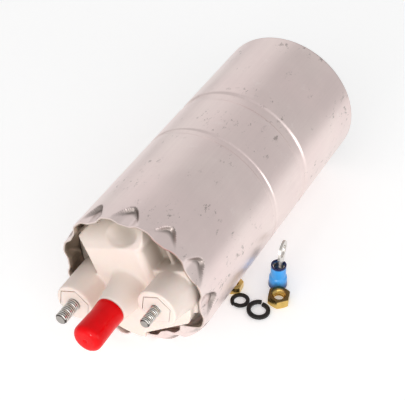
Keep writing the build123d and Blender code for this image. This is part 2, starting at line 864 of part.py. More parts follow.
def make_terminal_ring():
    """The tinned barrel, tongue and eye above the sleeve."""
    shoulder = sleeve_mouth_length + moulded_round
    barrel = revolve(Plane.XZ * make_face(Polyline(
        (barrel_radius, shoulder), (barrel_radius + barrel_wall, shoulder),
        (barrel_radius + barrel_wall, sleeve_length - moulded_round),
        (barrel_radius, sleeve_length - moulded_round), close=True)), Axis.Z, 360)
    foot = sleeve_length - 2 * moulded_round
    eye_at = sleeve_length + tongue_length + eye_radius - moulded_round
    flat = Pos(0, (foot + eye_at) / 2) * Rectangle(tongue_width, eye_at - foot)
    flat += Pos(0, eye_at) * Circle(eye_radius)
    flat -= Pos(0, eye_at) * Circle(eye_hole_radius)
    aside = barrel_radius - tongue_thickness + barrel_wall
    tongue = Pos(0, -aside, 0) * extrude(Plane.XZ * flat, amount=-tongue_thickness)
    inside = Pos(0, 0, foot) * Cylinder(barrel_radius + barrel_wall, sleeve_length,
                                        align=(Align.CENTER, Align.CENTER, Align.MIN))
    low = tongue & inside
    high = tongue & Pos(0, 0, sleeve_length + sleeve_length) * Box(
        4 * eye_radius, 4 * eye_radius, 2 * sleeve_length)
    return terminal_frame(barrel + low + high)


nodes = {
    "casing": make_casing(),
    "terminal_head": make_head(),
    "head_seal": make_seal(shoulder_start + head_length / 2),
    "stud_m5": make_stud("stud_m5", -1),
    "stud_m4": make_stud("stud_m4", 1),
    "choke_left": make_choke(-1),
    "choke_right": make_choke(1),
    "outlet_spigot": make_spigot(),
    "check_valve_poppet": make_poppet(),
    "check_valve_spring": make_valve_spring(),
    "outlet_cap": make_cap(),
    "front_bush": make_bush(head_back - bush_length),
    "brush_holder": make_brush_holder(),
    "brush_left": make_brush(-1),
    "brush_right": make_brush(1),
    "brush_spring_left": make_brush_spring(-1),
    "brush_spring_right": make_brush_spring(1),
    "rotor_shaft": make_shaft(),
    "commutator": make_commutator(),
    "armature_core": make_core(),
    "armature_winding": make_winding(),
    "thrust_washer_front": make_thrust_washer(head_back + stack_gap),
    "thrust_washer_rear": make_thrust_washer(plate_start - washer_length - stack_gap),
    "magnet_upper": make_magnet(0),
    "magnet_lower": make_magnet(180),
    "magnet_clips": make_clips(),
    "flux_tube": make_flux_tube(),
    "pump_plate": make_pump_plate(),
    "rear_bush": make_bush(plate_start),
    "pump_ring": make_pump_ring(),
    "gerotor_inner": make_inner_rotor(),
    "gerotor_outer": make_outer_rotor(),
    "pump_screws": make_screws(),
    "inlet_cover": make_inlet_cover(),
    "inlet_seal": make_seal((cover_start + cover_end) / 2),
    "inlet_strainer": make_strainer(),
    "relief_ball": make_relief_ball(),
    "relief_spring": make_relief_spring(),
    "relief_plug": make_relief_plug(),
    "nut_m5": make_nut("nut_m5"),
    "nut_m4": make_nut("nut_m4"),
    "lock_washer_m5": make_lock_washer("lock_washer_m5"),
    "lock_washer_m4": make_lock_washer("lock_washer_m4"),
    "terminal_sleeve": make_terminal_sleeve(),
    "terminal_ring": make_terminal_ring(),
}

os.makedirs("parts", exist_ok=True)
to_origin = Pos(0, -clamp_centre, 0)
for name, shape in nodes.items():
    if isinstance(shape, list):
        placed = Compound(children=[to_origin * piece for piece in shape])
    else:
        placed = to_origin * shape
    export_step(placed, f"parts/{name}.step")
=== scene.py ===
import bpy
import bmesh
import json
from math import atan2, cos, degrees, pi, radians, sin, sqrt, tan
from mathutils import Matrix, Vector


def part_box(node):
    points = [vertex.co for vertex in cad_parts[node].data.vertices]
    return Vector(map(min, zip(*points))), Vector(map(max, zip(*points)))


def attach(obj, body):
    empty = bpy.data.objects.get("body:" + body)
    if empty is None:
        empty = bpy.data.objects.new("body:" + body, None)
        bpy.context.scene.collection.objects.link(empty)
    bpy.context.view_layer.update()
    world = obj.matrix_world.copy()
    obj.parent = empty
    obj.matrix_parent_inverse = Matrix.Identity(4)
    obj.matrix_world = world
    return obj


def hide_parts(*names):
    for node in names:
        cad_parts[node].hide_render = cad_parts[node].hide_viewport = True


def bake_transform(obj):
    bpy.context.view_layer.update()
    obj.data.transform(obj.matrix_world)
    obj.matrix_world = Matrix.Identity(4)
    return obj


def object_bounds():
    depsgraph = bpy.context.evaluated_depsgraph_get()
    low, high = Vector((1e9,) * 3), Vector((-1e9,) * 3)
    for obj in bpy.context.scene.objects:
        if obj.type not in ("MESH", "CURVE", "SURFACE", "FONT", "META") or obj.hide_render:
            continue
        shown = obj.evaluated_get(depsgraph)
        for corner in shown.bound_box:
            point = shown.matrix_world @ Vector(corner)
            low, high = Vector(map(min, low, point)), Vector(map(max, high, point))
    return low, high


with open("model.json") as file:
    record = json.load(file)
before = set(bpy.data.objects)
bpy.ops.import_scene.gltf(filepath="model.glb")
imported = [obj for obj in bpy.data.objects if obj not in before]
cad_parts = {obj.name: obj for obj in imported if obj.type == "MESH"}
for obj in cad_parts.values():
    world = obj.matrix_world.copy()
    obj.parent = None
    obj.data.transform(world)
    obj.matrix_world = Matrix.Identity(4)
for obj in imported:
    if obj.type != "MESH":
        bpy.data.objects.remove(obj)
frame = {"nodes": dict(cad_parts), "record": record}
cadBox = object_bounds()
print("frame loaded")

mm = 0.001
scene = bpy.context.scene


# One class for node maths: it wraps a socket, and its operators add the nodes
class Wire:
    def __init__(self, tree, socket, kind="ShaderNodeMath"):
        self.tree = tree
        self.socket = socket
        self.kind = kind

    def maths(self, operation, *others):
        node = self.tree.nodes.new(self.kind)
        node.operation = operation
        for spot, value in enumerate((self,) + others):
            if isinstance(value, Wire):
                self.tree.links.new(value.socket, node.inputs[spot])
            else:
                node.inputs[spot].default_value = value
        return Wire(self.tree, node.outputs[0], self.kind)

    def __add__(self, other):
        return self.maths("ADD", other)

    def __sub__(self, other):
        return self.maths("SUBTRACT", other)

    def __mul__(self, other):
        return self.maths("MULTIPLY", other)

    def __truediv__(self, other):
        return self.maths("DIVIDE", other)

    def __pow__(self, other):
        return self.maths("POWER", other)

    def __radd__(self, other):
        return self * 1 + other

    def __rmul__(self, other):
        return self * other

    def __rsub__(self, other):
        return self * -1 + other

    def clamped(self, low=0.0, high=1.0):
        return self.maths("MAXIMUM", low).maths("MINIMUM", high)


def setStops(node, stops):
    ramp = node.color_ramp
    while len(ramp.elements) < len(stops):
        ramp.elements.new(0.5)
    for element, (where, colour) in zip(ramp.elements, stops):
        element.position = where
        element.color = (colour, colour, colour, 1) if isinstance(colour, float) else colour


def addNode(tree, kind, settings, out, values):
    # Values go to inputs by their names, with _ for a space, or by number as i0, i6
    node = tree.nodes.new(kind)
    for key, value in (settings or {}).items():
        if key == "stops":
            setStops(node, value)
        else:
            setattr(node, key, value)
    for key, value in values.items():
        spot = int(key[1:]) if key[0] == "i" and key[1:].isdigit() else key.replace("_", " ")
        if isinstance(value, Wire):
            tree.links.new(value.socket, node.inputs[spot])
        else:
            node.inputs[spot].default_value = value
    return Wire(tree, node.outputs[out])


# A material under construction
class Finish:
    def __init__(self, name, **fixed):
        self.material = bpy.data.materials.new(name)
        self.material.use_nodes = True
        self.tree = self.material.node_tree
        self.shader = self.tree.nodes["Principled BSDF"]
        for socket, value in fixed.items():
            self.shader.inputs[socket.replace("_", " ")].default_value = value
        self.place = self.node("ShaderNodeTexCoord", out="Object")

    def node(self, kind, settings=None, out=0, **values):
        return addNode(self.tree, kind, settings, out, values)

    def noise(self, scale, detail=4.0, roughness=0.5, stretch=(1, 1, 1), shift=(0, 0, 0)):
        spot = self.node("ShaderNodeMapping", Vector=self.place, Scale=stretch, Location=shift)
        return self.node("ShaderNodeTexNoise", Vector=spot, Scale=scale, Detail=detail,
                         Roughness=roughness)

    def ramp(self, value, *stops):
        return self.node("ShaderNodeValToRGB", {"stops": stops}, Fac=value)

    def blend(self, share, low, high):
        return self.node("ShaderNodeMix", {"data_type": "RGBA"}, out=2, i0=share, i6=low, i7=high)

    def along(self, axis):
        return self.node("ShaderNodeSeparateXYZ", out=axis, Vector=self.place)

    def set(self, **values):
        for socket, value in values.items():
            target = self.shader.inputs[socket.replace("_", " ")]
            if isinstance(value, Wire):
                self.tree.links.new(value.socket, target)
            else:
                target.default_value = value
        return self

    def bump(self, height, strength=0.3, distance=0.0002):
        bumped = self.node("ShaderNodeBump", Strength=strength, Distance=distance, Height=height)
        return self.set(Normal=bumped)


def rgb(red, green, blue):
    return (red, green, blue, 1.0)


# Finishes that show in the photograph

def casingFinish():
    # Rolled steel with a warm tint, small dark specks in patches, and painted shade in the dents,
    # inside and at the far end
    look = {"warm": rgb(0.97, 0.80, 0.775), "pale": rgb(0.97, 0.86, 0.81),
            "dark": rgb(0.80, 0.67, 0.65), "scuff": rgb(1.0, 0.92, 0.89),
            "mark": rgb(0.20, 0.17, 0.15), "paintedShade": rgb(0.27, 0.23, 0.21),
            "inside": rgb(0.42, 0.36, 0.29)}
    endShadeBand, bottomFrom, bottomReach = (0.0016, 0.0012), 0.018, 0.012
    f = Finish("satinCasing", Metallic=0.9)
    cloud = f.noise(55, 5, 0.55)
    tint = f.ramp(f.noise(34, 2, 0.5, shift=(0.4, 0.2, 0.9)), (0.35, 0.0), (0.65, 1.0))
    streak = f.noise(900, 2, 0.5, stretch=(1, 0.03, 1))
    patches = f.ramp(f.noise(70, 2, 0.5, shift=(0.15, 0.6, 0.3)), (0.50, 0.0), (0.60, 1.0))
    specks = f.noise(430, 5, 0.75, stretch=(1, 0.6, 1), shift=(0.3, 0.1, 0))
    specks = f.ramp(specks, (0.585, 0.0), (0.63, 1.0))
    scuffs = f.ramp(f.noise(130, 8, 0.8, shift=(0.7, 0, 0.2)), (0.58, 0.0), (0.72, 1.0))
    tone = f.blend(tint, look["warm"], look["pale"])
    tone = f.blend((cloud * 0.9 + streak * 0.3 - 0.25).clamped(), look["dark"], tone)
    tone = f.blend(scuffs * 0.45, tone, look["scuff"])
    tone = f.blend(patches * specks * 0.55, tone, look["mark"])
    # Painted shade: the inside is darker towards the top, the dents' steep walls are darkened, and
    # the far end has a thin dark edge
    # Painted shade inside the can, strongest towards the top
    high = ((f.along(2) + bottomFrom) / bottomReach).clamped() * 0.8 + 0.1
    for title, share, colour in (("crease", 0.9, look["paintedShade"]), ("inside", high, look["inside"])):
        mask = f.node("ShaderNodeAttribute", {"attribute_name": title}, out=2)
        tone = f.blend(mask * share, tone, colour)
    # Painted shade in a thin band at the far end's round
    edge = ((f.along(1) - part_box("casing")[1].y + endShadeBand[0]) / endShadeBand[1]).clamped()
    tone = f.blend(edge * edge * 0.6, tone, look["paintedShade"])
    f.set(Base_Color=tone, Roughness=(0.27 + cloud * 0.12 + scuffs * 0.1).clamped(0.15, 0.8))
    f.bump(streak * 0.25 + cloud * 0.6 + specks * patches * -0.5, 0.14, 0.00014)
    return f.material


def nylonFinish():
    # Cream, with painted shade down in the pockets and in the scoop
    look = {"cream": rgb(0.86, 0.75, 0.685), "shade": rgb(0.79, 0.665, 0.595),
            "stain": rgb(0.58, 0.45, 0.35), "pocket": rgb(0.25, 0.20, 0.145),
            "scoop": rgb(0.40, 0.33, 0.27)}
    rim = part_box("casing")[0].y
    pocketShadeDepth, bottomFrom, bottomReach = 0.0065, 0.018, 0.012
    scoopShadeAt, reach = (-0.0050, 0.0220), 0.0066
    f = Finish("creamNylon", Subsurface_Weight=0.12, Subsurface_Scale=0.002, IOR=1.5)
    cloud = f.noise(90, 3, 0.5)
    grain = f.noise(2600, 2, 0.5)
    stain = f.ramp(f.noise(160, 5, 0.7, shift=(0.2, 0.5, 0.1)), (0.6, 0.0), (0.8, 1.0))
    tone = f.blend(cloud, look["shade"], look["cream"])
    tone = f.blend(stain * 0.2, tone, look["stain"])
    # Painted shade deeper into the pockets, fading out lower down, with a little stain mixed in
    depth = ((f.along(1) - rim) / pocketShadeDepth).clamped()
    depth = depth * ((f.along(2) + bottomFrom) / bottomReach).clamped()
    tone = f.blend((depth * 0.7 + stain * depth * 0.2).clamped(), tone, look["pocket"])
    # Painted shade in the scoop above the bridge
    x, z = f.along(0) - scoopShadeAt[0], f.along(2) - scoopShadeAt[1]
    hollow = (1 - (x * x * 0.7 + z * z * 2.2).maths("SQRT") / reach).clamped()
    hollow = hollow * f.along(1).maths("GREATER_THAN", rim)
    tone = f.blend((hollow * 1.4).clamped() * 0.7, tone, look["scoop"])
    f.set(Base_Color=tone, Roughness=0.42 + cloud * 0.18)
    f.bump(grain * 0.3 + cloud, 0.15, 0.0001)
    return f.material


def capFinish():
    f = Finish("redVinyl", Coat_Roughness=0.06)
    cloud = f.noise(180, 3, 0.5)
    dull = f.ramp(f.noise(420, 6, 0.7), (0.5, 0.0), (0.75, 1.0))
    f.set(Base_Color=f.blend(cloud, rgb(0.60, 0.0, 0.001), rgb(0.84, 0.0, 0.004)))
    f.set(Specular_IOR_Level=0.06)
    f.set(Roughness=0.3 + dull * 0.2, Coat_Weight=0.25 - dull * 0.1)
    f.bump(cloud * 1.0 + dull * 0.15, 0.3, 0.0003)
    return f.material


def metalFinish(name, colour, dark, roughness=0.3, metallic=1.0, scale=500, turned=0.25):
    f = Finish(name)
    cloud = f.noise(scale * 0.3, 4, 0.6)
    fine = f.noise(scale * 4, 2, 0.5, stretch=(1, 8, 1))
    worn = f.ramp(f.noise(scale, 6, 0.75), (0.55, 0.0), (0.75, 1.0))
    f.set(Base_Color=f.blend((cloud * 0.7 + worn * 0.4).clamped(), colour, dark), Metallic=metallic)
    f.set(Roughness=(roughness + cloud * 0.12 + worn * 0.1).clamped(0.08, 0.9))
    f.bump(fine * turned + worn * 0.4, 0.2, 0.00006)
    return f.material


def brassFinish():
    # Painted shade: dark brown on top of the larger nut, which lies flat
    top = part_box("nut_m5")[1].z
    f = Finish("nutBrass", Metallic=1.0)
    cloud = f.noise(150, 4, 0.6)
    worn = f.ramp(f.noise(500, 6, 0.75), (0.55, 0.0), (0.75, 1.0))
    # Dark patches, partly tarnish and partly painted reflection
    tarnishAndReflection = (cloud * 0.5 + worn * 0.4).clamped()
    tone = f.blend(tarnishAndReflection, rgb(0.86, 0.62, 0.20), rgb(0.30, 0.17, 0.05))
    topShadeFrom, topShadeReach = 0.0006, 0.0004
    topShade = ((f.along(2) - top + topShadeFrom) / topShadeReach).clamped()
    f.set(Base_Color=f.blend(topShade * 0.85, tone, rgb(0.10, 0.055, 0.025)))
    f.set(Roughness=0.16 + cloud * 0.12 + worn * 0.1)
    f.bump(worn * 0.4, 0.2, 0.00006)
    return f.material


def plasticFinish(name, colour, dark, roughness=0.45, scale=400):
    f = Finish(name)
    cloud = f.noise(scale * 0.4, 3, 0.5)
    grain = f.noise(scale * 8, 2, 0.5)
    f.set(Base_Color=f.blend(cloud, dark, colour), Roughness=roughness + grain * 0.12)
    f.bump(grain, 0.15, 0.00005)
    return f.material


def sleeveFinish():
    # Blue vinyl with painted shade towards its upper edge and its foot
    low, high = (corner.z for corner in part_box("terminal_sleeve"))
    f = Finish("blueVinyl", Coat_Roughness=0.1, Specular_IOR_Level=0.3)
    height = (f.along(2) - low) / (high - low)
    # Painted shade at the open top and at the foot
    middle = f.ramp(height, (0.0, 0.05), (0.12, 0.15), (0.3, 0.9), (0.91, 1.0), (0.95, 0.1),
                    (1.0, 0.0))
    cloud = f.noise(300, 3, 0.5)
    blue = f.blend(cloud, rgb(0.03, 0.27, 0.74), rgb(0.07, 0.42, 0.90))
    f.set(Base_Color=f.blend(middle, rgb(0.008, 0.012, 0.09), blue))
    f.set(Roughness=0.25 + cloud * 0.15, Coat_Weight=0.25)
    return f.material


def windingFinish():
    f = Finish("copperWinding", Metallic=0.8)
    wave = f.node("ShaderNodeTexWave", {"wave_type": "RINGS"}, out=1, Vector=f.place,
                  Scale=380, Distortion=2.0, Detail=2.0)
    cloud = f.noise(300, 3, 0.5)
    f.set(Base_Color=f.blend(cloud, rgb(0.42, 0.15, 0.05), rgb(0.75, 0.33, 0.14)))
    f.set(Roughness=0.25 + cloud * 0.2).bump(wave, 0.5, 0.0002)
    return f.material


def laminatedFinish():
    # Thin sheets stacked along the axis
    f = Finish("stackedSheets", Metallic=0.7)
    cloud = f.noise(260, 4, 0.6)
    sheet = (f.along(1) * 12000).maths("SINE")
    f.set(Base_Color=f.blend(cloud, rgb(0.12, 0.12, 0.13), rgb(0.34, 0.33, 0.33)))
    f.set(Roughness=0.4 + cloud * 0.2).bump(sheet * 0.5 + cloud * 0.5, 0.3, 0.0001)
    return f.material


finishes = {
    "casing_steel": casingFinish(),
    "natural_nylon": nylonFinish(),
    "red_cap": capFinish(),
    "blue_vinyl": sleeveFinish(),
    "copper_winding": windingFinish(),
    "core_steel": laminatedFinish(),
    "seal_rubber": plasticFinish("blackRubber", rgb(0.02, 0.02, 0.02), rgb(0.01, 0.01, 0.01), 0.55),
    "plated_steel": metalFinish("platedSteel", rgb(0.72, 0.69, 0.66), rgb(0.42, 0.38, 0.35), 0.22),
    "turned_steel": metalFinish("turnedSteel", rgb(0.62, 0.61, 0.6), rgb(0.4, 0.39, 0.38), 0.28),
    "spring_steel": metalFinish("springSteel", rgb(0.5, 0.5, 0.5), rgb(0.28, 0.27, 0.26), 0.3),
    "valve_plastic": plasticFinish("darkNylon", rgb(0.13, 0.11, 0.1), rgb(0.07, 0.06, 0.055)),
    "bush_bronze": metalFinish("sinteredBronze", rgb(0.6, 0.38, 0.18), rgb(0.35, 0.2, 0.09), 0.42),
    "black_phenolic": plasticFinish("phenolic", rgb(0.06, 0.045, 0.035), rgb(0.025, 0.02, 0.016)),
    "brush_carbon": metalFinish("carbon", rgb(0.05, 0.05, 0.055), rgb(0.02, 0.02, 0.02), 0.5, 0.3),
    "copper_bar": metalFinish("copperBar", rgb(0.82, 0.42, 0.24), rgb(0.4, 0.18, 0.1), 0.25),
    "ferrite": plasticFinish("ferrite", rgb(0.09, 0.09, 0.1), rgb(0.04, 0.04, 0.045), 0.6),
    "cast_aluminium": metalFinish("castAluminium",
                                  rgb(0.66, 0.66, 0.65), rgb(0.45, 0.45, 0.44), 0.38),
    "sintered_steel": metalFinish("sinteredSteel",
                                  rgb(0.36, 0.35, 0.34), rgb(0.2, 0.19, 0.18), 0.4),
    "nut_brass": brassFinish(),
    "black_spring_steel": metalFinish("blackedSteel", rgb(0.03, 0.028, 0.026),
                                      rgb(0.012, 0.011, 0.01), 0.32, 0.6),
    "tinned_copper": metalFinish("tinnedCopper", rgb(0.78, 0.76, 0.72), rgb(0.5, 0.47, 0.43), 0.2),
}
slotOf = {part["node"]: part["material_slot"] for part in frame["record"]["subparts"]}


def dress(obj, slot):
    obj.data.materials.clear()
    obj.data.materials.append(finishes[slot])


for name, obj in frame["nodes"].items():
    dress(obj, slotOf[name])
print("finishes made for", len(frame["nodes"]), "nodes")


# Floor, light and camera

stage = {
    "floorSize": 6.0,
    "floorDrop": 0.00002,
    "sky": 0.60,
    "glow": 0.28,
    "glowEnds": (0.17, 0.34),      # where the lit sheet fades into the room, from its middle
    "target": (0, -0.08, 0),
    # Lights: place, size, power
    "front": ((0.30, -0.8, 0.30), (1.2, 0.9), 4.3),
    "left": ((-0.75, 0.65, 0.42), (1.2, 0.8), 0.8),
    "spark": ((0.05, -0.7, 0.10), (0.06, 0.06), 0.5),
    "right": ((0.75, -0.28, 0.14), (0.5, 0.4), 1.1),
    "camera": (0.17326, -0.36347, 0.32040),
    "azimuth": 29.107,
    "elevation": 41.959,
    "lens": 109.84,
}


def makeFloor():
    half = stage["floorSize"] / 2
    level = cadBox[0].z - stage["floorDrop"]
    mesh = bpy.data.meshes.new("floor")
    corners = [(-half, -half), (half, -half), (half, half), (-half, half)]
    mesh.from_pydata([(x, y, level) for x, y in corners], [], [(0, 1, 2, 3)])
    floor = bpy.data.objects.new("floor", mesh)
    scene.collection.objects.link(floor)
    f = Finish("paleFloor", Roughness=0.9)
    f.set(Base_Color=rgb(0.9, 0.9, 0.9), Emission_Strength=stage["glow"])
    near, far = stage["glowEnds"]
    away = f.along(0) * f.along(0) + f.along(1) * f.along(1)
    lit = ((far - away.maths("SQRT")) / (far - near)).clamped()
    f.set(Emission_Color=f.blend(lit * lit * (3 - lit * 2), rgb(0, 0, 0), rgb(1, 1, 1)))
    mesh.materials.append(f.material)


def makeLight(name, place, target, size, power):
    light = bpy.data.lights.new(name, "AREA")
    light.shape = "RECTANGLE"
    light.size, light.size_y = size
    light.energy = power
    obj = bpy.data.objects.new(name, light)
    obj.location = place
    obj.rotation_euler = (Vector(target) - Vector(place)).to_track_quat("-Z", "Y").to_euler()
    scene.collection.objects.link(obj)


def makeStage():
    makeFloor()
    world = bpy.data.worlds.new("studio")
    world.use_nodes = True
    world.node_tree.nodes["Background"].inputs["Strength"].default_value = stage["sky"]
    world.node_tree.nodes["Background"].inputs["Color"].default_value = (1, 1, 1, 1)
    scene.world = world
    for name in ("front", "left", "right", "spark"):
        place, size, power = stage[name]
        makeLight(name + "Box", place, stage["target"], size, power)
    camera = bpy.data.cameras.new("camera")
    camera.sensor_width = 36
    camera.lens = stage["lens"]
    camera.clip_start, camera.clip_end = 0.01, 20
    obj = bpy.data.objects.new("camera", camera)
    obj.location = stage["camera"]
    turn, rise = radians(stage["azimuth"]), radians(stage["elevation"])
    back = Vector((sin(turn) * cos(rise), -cos(turn) * cos(rise), sin(rise)))
    obj.rotation_euler = (-back).to_track_quat("-Z", "Y").to_euler()
    scene.collection.objects.link(obj)
    scene.camera = obj


makeStage()
scene.view_settings.view_transform = "Standard"
print("stage set")


# Shared mesh tools. Lengths here are in millimetres from the rim plane, as measured
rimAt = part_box("casing")[0].y * 1000


def smoothed(outline, steps=5):
    # An outline's corners (radius, along, rounding) as points, with arcs at the rounded ones
    points = []
    count = len(outline)
    for spot, (x, y, rounding) in enumerate(outline):
        here = Vector((x, y))
        if rounding == 0:
            points.append(here)
            continue
        before = Vector(outline[spot - 1][:2]) - here
        after = Vector(outline[(spot + 1) % count][:2]) - here
        half = before.angle(after) / 2
        reach = min(rounding / tan(half), before.length * 0.49, after.length * 0.49)
        inward = (before.normalized() + after.normalized()).normalized()
        centre = here + inward * (reach / cos(half))
        first = here + before.normalized() * reach - centre
        last = here + after.normalized() * reach - centre
        for step in range(steps + 1):
            spoke = first.normalized().slerp(last.normalized(), step / steps)
            points.append(centre + spoke * first.length)
    return points


def toFrame(points):
    # From millimetres at the rim plane to metres in the row's frame
    return [(x * mm, (y + rimAt) * mm, z * mm) for x, y, z in points]


def meshObject(name, points, faces, smooth=True):
    mesh = bpy.data.meshes.new(name)
    mesh.from_pydata(toFrame(points), [], faces)
    mesh.validate()
    obj = bpy.data.objects.new(name, mesh)
    scene.collection.objects.link(obj)
    mend(mesh)
    if smooth:
        mesh.shade_smooth()
    return obj


def mend(mesh, outwards=True):
    # Merges points that lie on each other, and turns every face outwards
    form = bmesh.new()
    form.from_mesh(mesh)
    bmesh.ops.remove_doubles(form, verts=form.verts, dist=1e-7)
    if outwards:
        bmesh.ops.recalc_face_normals(form, faces=form.faces)
    form.to_mesh(mesh)
    form.free()


def lathePoints(outline, steps, centre=(0, 0), closed=True, upright=False):
    # Rings of points about Y, or about Z when upright, for an outline of (radius, along)
    points, faces = [], []
    rings = len(outline)
    for radius, along in outline:
        for step in range(steps):
            turn = 2 * pi * step / steps
            x, z = centre[0] + radius * cos(turn), centre[1] + radius * sin(turn)
            points.append((x, z, along) if upright else (x, along, z))
    for ring in range(rings if closed else rings - 1):
        after = (ring + 1) % rings
        for step in range(steps):
            beside = (step + 1) % steps
            faces.append((ring * steps + step, ring * steps + beside,
                          after * steps + beside, after * steps + step))
    return points, faces


def lathe(name, outline, steps=96, centre=(0, 0), upright=False, base=(0, 0, 0)):
    points, faces = lathePoints([tuple(p) for p in smoothed(outline)], steps, centre, True, upright)
    points = [(x + base[0], y + base[1], z + base[2]) for x, y, z in points]
    return meshObject(name, points, faces)


def baked(obj):
    # The modifiers' result as a plain mesh on the same object
    graph = bpy.context.evaluated_depsgraph_get()
    mesh = bpy.data.meshes.new_from_object(obj.evaluated_get(graph))
    obj.modifiers.clear()
    obj.data = mesh
    return obj


def joined(name, parts):
    form = bmesh.new()
    for part in parts:
        form.from_mesh(part.data)
        bpy.data.objects.remove(part)
    mesh = bpy.data.meshes.new(name)
    form.to_mesh(mesh)
    form.free()
    obj = bpy.data.objects.new(name, mesh)
    scene.collection.objects.link(obj)
    return obj


def sharpen(obj, angle=35):
    obj.data.shade_smooth()
    form = bmesh.new()
    form.from_mesh(obj.data)
    for edge in form.edges:
        edge.smooth = not (len(edge.link_faces) == 2 and edge.calc_face_angle(0) > radians(angle))
    form.to_mesh(obj.data)
    form.free()
    return obj


def finishPiece(obj, node, body, slot=None):
    dress(obj, slot or slotOf[node])
    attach(obj, body)
    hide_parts(node)
    return obj


# One tree of geometry nodes under construction
class Tree:
    def __init__(self, name, **sizes):
        self.group = bpy.data.node_groups.new(name, "GeometryNodeTree")
        face = self.group.interface
        face.new_socket("Geometry", in_out="INPUT", socket_type="NodeSocketGeometry")
        face.new_socket("Geometry", in_out="OUTPUT", socket_type="NodeSocketGeometry")
        self.sizes = {}
        for title, value in sizes.items():
            socket = face.new_socket(title, in_out="INPUT", socket_type="NodeSocketFloat")
            socket.default_value = value
            self.sizes[title] = socket.identifier
        self.enter = self.group.nodes.new("NodeGroupInput")
        self.leave = self.group.nodes.new("NodeGroupOutput")

    def size(self, title):
        return Wire(self.group, self.enter.outputs[title])

    def node(self, kind, settings=None, out=0, **values):
        return addNode(self.group, kind, settings, out, values)

    def finish(self, geometry, slot):
        real = self.node("GeometryNodeRealizeInstances", Geometry=geometry)
        held = self.node("GeometryNodeSetMaterial", Geometry=real, Material=finishes[slot])
        self.group.links.new(held.socket, self.leave.inputs[0])

    def run(self, obj, **sizes):
        modifier = obj.modifiers.new("made", "NODES")
        modifier.node_group = self.group
        for title, value in sizes.items():
            modifier[self.sizes[title]] = float(value)
        return baked(obj)


# Casing: a drawn can whose open end is pressed in over the head

casing = {
    "radius": 30.0, "length": 126.5, "wall": 1.2, "endRound": 2.2, "hole": 15.0, "lip": 0.7,
    "nearGroove": (55.35, 3.9, 0.45), "farGroove": (80.6, 6.2, 0.7),    # centre, width, depth
    "roll": (5.3, -59.0, 43.0, 6.5),      # depth, middle and half width in degrees, length
    "crimpCount": 12, "crimpDepth": 1.6, "crimpLength": 8.4, "crimpAngle": 5.0,
    "crimpZone": (3.0, 9.3, 10.5),        # dents' steep part from and to, and the end of close rows
    "rimEase": 0.05, "grooveFlank": 0.45,
    "steps": 420,
}


def grooveDip(along, groove):
    centre, width, depth = groove
    away = abs(along - centre) / (width / 2)
    if away >= 1:
        return 0.0
    side = min(1.0, (1 - away) / casing["grooveFlank"])
    return depth * side * side * (3 - 2 * side)


def casingRows():
    # Places along the can, closer together where it bends
    rows = [0.0, 0.12]
    steepFrom, steepTo, end = casing["crimpZone"]
    while rows[-1] < end:
        rows.append(rows[-1] + (0.25 if steepFrom < rows[-1] < steepTo else 0.5))
    margin, grooveStep = 0.3, 0.28
    for centre, width, depth in (casing["nearGroove"], casing["farGroove"]):
        first = centre - width / 2 - margin
        rows += [(rows[-1] + first) / 2, first]
        while rows[-1] < centre + width / 2 + margin - 0.1:
            rows.append(rows[-1] + grooveStep)
    flatEnd = casing["length"] - casing["endRound"]
    return rows + [(rows[-1] + flatEnd) / 2]


def makeCasing():
    c = casing
    radius, wall, end, bend, hole, lip = (c[key] for key in ("radius", "wall", "length", "endRound",
                                                            "hole", "lip"))
    outer = []
    for s in casingRows():
        dip = grooveDip(s, c["nearGroove"]) + grooveDip(s, c["farGroove"])
        outer.append((radius - dip - (c["rimEase"] if s == 0 else 0), s))
    inner = [(r - wall, s) for r, s in outer if lip < s < end - wall]
    outer = [(outer[0][0] - lip, 0.0)] + outer
    turn = smoothed([(radius, end - bend, 0), (radius, end, bend), (hole, end, 0)], 6)
    back = smoothed([(radius - wall, end - bend, 0), (radius - wall, end - wall, bend - wall),
                     (hole, end - wall, 0)], 3)
    outline = outer + [tuple(p) for p in turn] + [tuple(p) for p in back[::-1]] + inner[::-1]
    points, faces = lathePoints(outline, c["steps"])
    can = meshObject("casingShell", points, faces)
    rollDepth, rollTurn, rollReach, rollLength = c["roll"]
    pressed = crimpTree().run(can, Count=c["crimpCount"], Depth=c["crimpDepth"] * mm,
                              Length=c["crimpLength"] * mm, Turn=radians(c["crimpAngle"]),
                              Rim=rimAt * mm, Roll=rollDepth * mm, RollTurn=radians(rollTurn),
                              RollReach=radians(rollReach), RollLength=rollLength * mm)
    finishPiece(sharpen(pressed, 40), "casing", "pump")
    print("casing pressed with", c["crimpCount"], "crimps")


